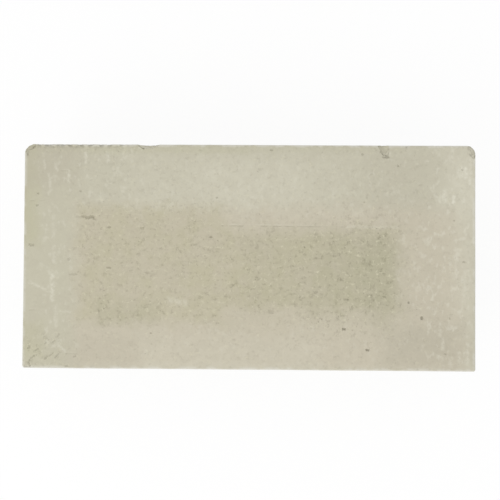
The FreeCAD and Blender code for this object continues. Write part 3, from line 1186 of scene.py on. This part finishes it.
# Patches as for the skin. A negative amount is a smoother area.
ROUGH_PATCHES = (
    (-114, -96, -56, -40, 5.0, 2.0, 0.60),
    (-120, -90, -38, 50, 6.0, 3.0, -0.36),
    (90, 120, -60, 50, 6.0, 3.0, -0.15),
    (-110, -60, 53, 58, 2.0, 1.0, 0.35),
    (26, 60, -41, -26, 5.0, 3.0, 0.42),
    (42, 76, 14, 25, 4.0, 3.0, 0.38),
)

# Each kind of spot: where it reads the noise, its size, the levels at which it starts and is full, the
# noise's fineness, its amount and tint, and whether it stands up (1) or is sunk (-1).
Spots = namedtuple("Spots", "shift feature none_at full_at fineness amount tint rise")
SPOTS = {
    "dark grains": Spots((0.0, 0.0, 0.0), 1.9, 0.5, 0.2, 0.62, 0.26, DARK_CLAY_AND_SHADE, -1.0),
    "pale grains": Spots((0.31, 0.12, 0.23), 2.0, 0.5, 0.8, 0.62, 0.62, PALE_GRAIN, 1.0),
    "pores": Spots((0.11, 0.37, 0.05), 1.2, 0.36, 0.26, 0.7, 0.42, DARK_CLAY_AND_SHADE, -1.0),
}


def how_rough(tree, place, on_bed, openness, broken):
    """How strongly the grains and pores show."""
    rough = calc(tree, "MULTIPLY_ADD", openness, STAIN_ROUGHNESS, SMOOTH_ROUGHNESS)
    worn = calc(tree, "MULTIPLY", patch_sum(tree, place, ROUGH_PATCHES), on_bed)
    rough = calc(tree, "ADD", rough, worn)
    rough = calc(tree, "MULTIPLY_ADD", broken, BROKEN_ROUGHNESS, rough)
    clusters = grain(tree, place, CLUSTER_FEATURE, *WIDE_LEVELS)
    clusters = calc(tree, "MULTIPLY_ADD", clusters, CLUSTER_AMOUNT, CLUSTER_LEAST)
    return calc(tree, "MULTIPLY", rough, clusters)


def grains_and_pores(tree, place, rough, base):
    """The colour with its grains and pores, and a height for the bump."""
    height = 0.0
    for kind in SPOTS.values():
        shifted = vector(tree, "ADD", place, kind.shift)
        mask = grain(tree, shifted, kind.feature, kind.none_at, kind.full_at, kind.fineness)
        base = tinted(tree, base, kind.tint, mask, rough, kind.amount)
        height = calc(tree, "MULTIPLY_ADD", mask, kind.rise, height)
    return base, calc(tree, "MULTIPLY", height, rough)


print("grain:", ", ".join(f"{name} of {kind.feature} mm" for name, kind in SPOTS.items()))

# %% [markdown]
# ## The whole finish
#
# The layers go on in about the order they came to the brick: skin and stain, drag marks, rubbed marks, pale
# breaks, grain, and last the rubbed edges and the dirt. Some of these are painted light: the scratches are a
# line of painted shade beside one of painted highlight, two chalky strokes are painted highlights, the pale
# edges are partly a painted highlight, and the dark hollows are partly painted shade. The breaks, the pale
# edges and the dark hollows are where the numbers stored on the vertices say. The clay is matt, so the
# shader is rough with hardly any shine, and
# its constants are set on the shader itself.

# %% The whole finish
BROKEN_CLAY = colour(212, 208, 193)
# Paleness of the edges, partly rubbed wear and partly a painted highlight.
WORN_CLAY_AND_HIGHLIGHT = colour(222, 220, 211)
# Darkening in hollows and under chip rims, partly dirt and partly painted shade.
SOIL_AND_SHADE = colour(96, 91, 76)
BROKEN_AMOUNT = 0.6
WORN_AND_HIGHLIGHT_AMOUNT = 0.7
BUMP_HEIGHT = 0.25 * MM
BUMP_STRENGTH = 0.6
CLAY_ROUGHNESS = 0.9
CLAY_SHINE = 0.2


def fired_clay():
    """The material of the whole brick."""
    material, tree = new_material("fired_clay")
    place = put(tree, "ShaderNodeTexCoord").outputs["Object"]
    height = put(tree, "ShaderNodeSeparateXYZ", {0: place}).outputs["Z"]
    on_bed = ramp(tree, height, high.z - BED_FADE[1], high.z - BED_FADE[0])
    fracture, wear_and_highlight, soil = [put(tree, "ShaderNodeAttribute", attribute_name=name).outputs["Fac"]
                            for name in ("fracture", "wear_and_highlight", "soil")]

    base = pressed_skin(tree, place, on_bed)
    base, openness = stained(tree, place, on_bed, base)
    base = drag_marks(tree, place, on_bed, base)
    base = chalky_streaks_and_highlight(tree, place, on_bed, base)
    base = scratches_shade_and_highlight(tree, place, base)
    base = tinted(tree, base, BROKEN_CLAY, fracture, BROKEN_AMOUNT)
    rough = how_rough(tree, place, on_bed, openness, fracture)
    base, relief = grains_and_pores(tree, place, rough, base)
    # Pale edges: partly rubbed wear, partly a painted highlight on the rounded arrises.
    base = tinted(tree, base, WORN_CLAY_AND_HIGHLIGHT, wear_and_highlight, WORN_AND_HIGHLIGHT_AMOUNT)
    # Dark hollows and chip rims: partly dirt, partly painted shade.
    base = tinted(tree, base, SOIL_AND_SHADE, soil)

    bump = put(tree, "ShaderNodeBump", {
        "Height": relief, "Strength": BUMP_STRENGTH, "Distance": BUMP_HEIGHT})
    shader = put(tree, "ShaderNodeBsdfPrincipled", {
        "Base Color": base, "Normal": bump.outputs["Normal"],
        "Roughness": CLAY_ROUGHNESS, "Specular IOR Level": CLAY_SHINE})
    put(tree, "ShaderNodeOutputMaterial", {"Surface": shader.outputs[0]})
    return material


clay = fired_clay()
brick_mesh.materials.append(clay)
print(f"fired clay: {len(clay.node_tree.nodes)} nodes")

# %% [markdown]
# ## Putting the brick in the frame
#
# The finished brick stands for the CAD solid of the same name and moves with its body. The last lines write
# down the CAD box and the finished brick's box, so that the two can be compared.

# %% Putting the brick in the frame
brick = bpy.data.objects.new("firebrick_body", brick_mesh)
scene.collection.objects.link(brick)
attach(brick, "root")
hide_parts("firebrick")

boxes = {"cad": cad_box, "visual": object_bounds()}
boxes = {name: [list(corner) for corner in box] for name, box in boxes.items()}
for name, box in boxes.items():
    print(name, "box in mm:", [[round(value / MM, 2) for value in corner] for corner in box])
